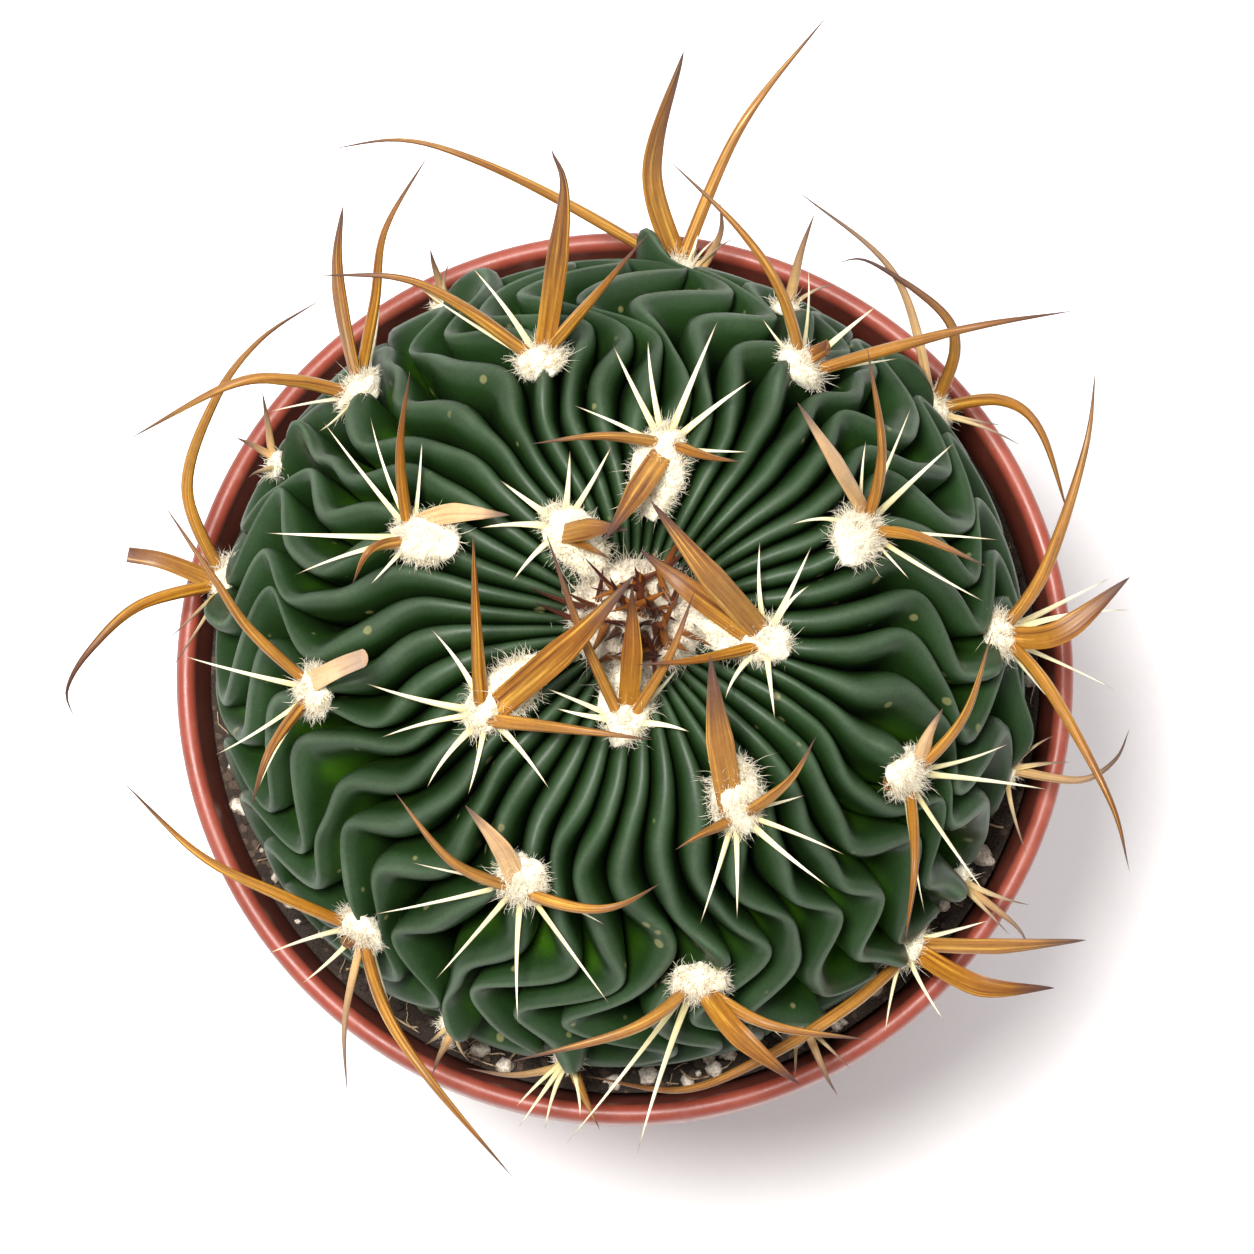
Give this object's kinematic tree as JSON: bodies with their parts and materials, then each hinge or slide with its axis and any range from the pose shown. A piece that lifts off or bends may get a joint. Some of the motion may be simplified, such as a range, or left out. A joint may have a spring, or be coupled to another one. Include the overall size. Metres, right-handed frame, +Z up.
{
  "type": "potted brain cactus",
  "caption": "Low globe cactus with many thin waved ribs and long flat and round amber spines, set in soil in a tapered plastic nursery pot.",
  "frame": {"origin": "middle of the pot's flat underside, which stands on the surface", "axes": "+Z up out of the pot, +Y towards the side that is uppermost in the picture, +X towards its right side"},
  "size_m": [0.0983, 0.1095, 0.123],
  "materials": {
    "pot": "terracotta coloured plastic, satin",
    "soil": "dark damp mineral soil with pale grit, matt",
    "stem": "dark green waxy skin, satin",
    "spines": "amber horn-like spines and cream wool, matt to satin"
  },
  "bodies": {
    "root": {"pot": "pot", "soil": "soil", "stem": "stem", "crown": "spines", "areole_01": "spines", "areole_02": "spines", "areole_03": "spines", "areole_04": "spines", "areole_05": "spines", "areole_06": "spines", "areole_07": "spines", "areole_08": "spines", "areole_09": "spines", "areole_10": "spines", "areole_11": "spines", "areole_12": "spines", "areole_13": "spines", "areole_14": "spines", "areole_15": "spines", "areole_16": "spines", "areole_17": "spines", "areole_18": "spines", "areole_19": "spines", "areole_20": "spines", "areole_21": "spines", "areole_22": "spines", "areole_23": "spines", "areole_24": "spines", "areole_25": "spines", "areole_26": "spines", "areole_27": "spines", "areole_28": "spines", "areole_29": "spines", "areole_30": "spines"}
  },
  "joints": []
}
